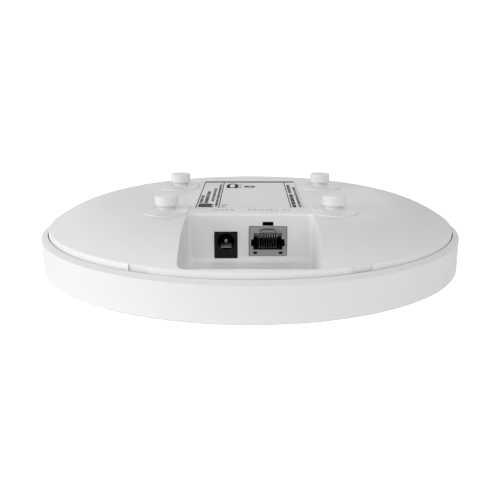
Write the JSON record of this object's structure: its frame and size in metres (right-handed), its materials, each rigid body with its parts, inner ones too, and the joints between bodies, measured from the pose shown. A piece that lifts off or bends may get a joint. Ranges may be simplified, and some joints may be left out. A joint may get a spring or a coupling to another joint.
{
  "type": "ceiling access point",
  "caption": "Round white ceiling access point, back up, with headed mounting studs, a recessed port bay with a network port and a round power inlet, and a printed label.",
  "frame": {"origin": "centre of the flat front face, which is the face that looks into the room", "axes": "+Z points out of the back, towards the ceiling; the port bay opens towards -Y; +X is to the right when looking along +Y"},
  "size_m": [0.19, 0.19, 0.0346],
  "materials": {
    "white_plastic": "fine spark-eroded texture, satin white",
    "clear_plastic": "clear moulded acrylic",
    "label_film": "printed polyester film, pale grey",
    "screw_steel": "zinc-plated steel",
    "brass_spacer": "turned brass",
    "black_plastic": "black moulded plastic",
    "contact_nickel": "nickel-plated contact metal",
    "shield_steel": "tin-plated sheet steel",
    "insert_plastic": "black glass-filled plastic",
    "contact_gold": "gold-plated spring wire",
    "circuit_board": "green solder mask",
    "spreader_aluminium": "stamped aluminium sheet",
    "tinned_can": "tin-plated sheet steel",
    "chip_epoxy": "black moulded epoxy",
    "thermal_pad": "soft silicone pad",
    "ferrite": "sintered ferrite",
    "capacitor_sleeve": "shrink sleeve over aluminium",
    "led_body": "small white light-emitting diode",
    "antenna_metal": "tin-plated phosphor bronze",
    "plunger_plastic": "off-white moulded plastic"
  },
  "bodies": {
    "case": {"front_cover": "white_plastic", "rear_cover": "white_plastic", "mounting_studs": "white_plastic", "light_guide": "clear_plastic", "rating_label": "label_film", "stud_screws": "screw_steel", "board_screws": "screw_steel", "board_spacers": "brass_spacer", "dc_jack_housing": "black_plastic", "dc_centre_pin": "contact_nickel", "rj45_shield": "shield_steel", "rj45_insert": "insert_plastic", "main_board": "circuit_board", "heat_spreader": "spreader_aluminium", "processor_can": "tinned_can", "radio_can_2g": "tinned_can", "radio_can_5g": "tinned_can", "processor_chip": "chip_epoxy", "radio_chip_2g": "chip_epoxy", "radio_chip_5g": "chip_epoxy", "memory_chip": "chip_epoxy", "flash_chip": "chip_epoxy", "chip_thermal_pads": "thermal_pad", "can_thermal_pads": "thermal_pad", "network_transformer": "chip_epoxy", "power_transformer": "ferrite", "bulk_capacitors": "capacitor_sleeve", "status_led": "led_body", "antenna_2g_left": "antenna_metal", "antenna_2g_right": "antenna_metal", "antenna_5g_left": "antenna_metal", "antenna_5g_right": "antenna_metal", "reset_switch": "black_plastic"},
    "reset_button": {"reset_plunger": "plunger_plastic"},
    "power_leaf": {"dc_leaf_contact": "contact_nickel"},
    "network_springs": {"rj45_contacts": "contact_gold"}
  },
  "joints": [
    {"name": "reset_press", "type": "slide", "parent": "case", "child": "reset_button", "axis": [-1, 0, 0], "range_m": [0, 0.00025], "stiffness_N_per_m": 4000},
    {"name": "power_leaf_flex", "type": "hinge", "parent": "case", "child": "power_leaf", "pos_m": [-0.0102, -0.029, 0.01307], "axis": [1, 0, 0], "range_deg": [0, 8], "stiffness_Nm_per_rad": 0.05},
    {"name": "network_spring_flex", "type": "hinge", "parent": "case", "child": "network_springs", "pos_m": [0.0074, -0.0376, 0.0132], "axis": [1, 0, 0], "range_deg": [-10, 0], "stiffness_Nm_per_rad": 0.08}
  ]
}
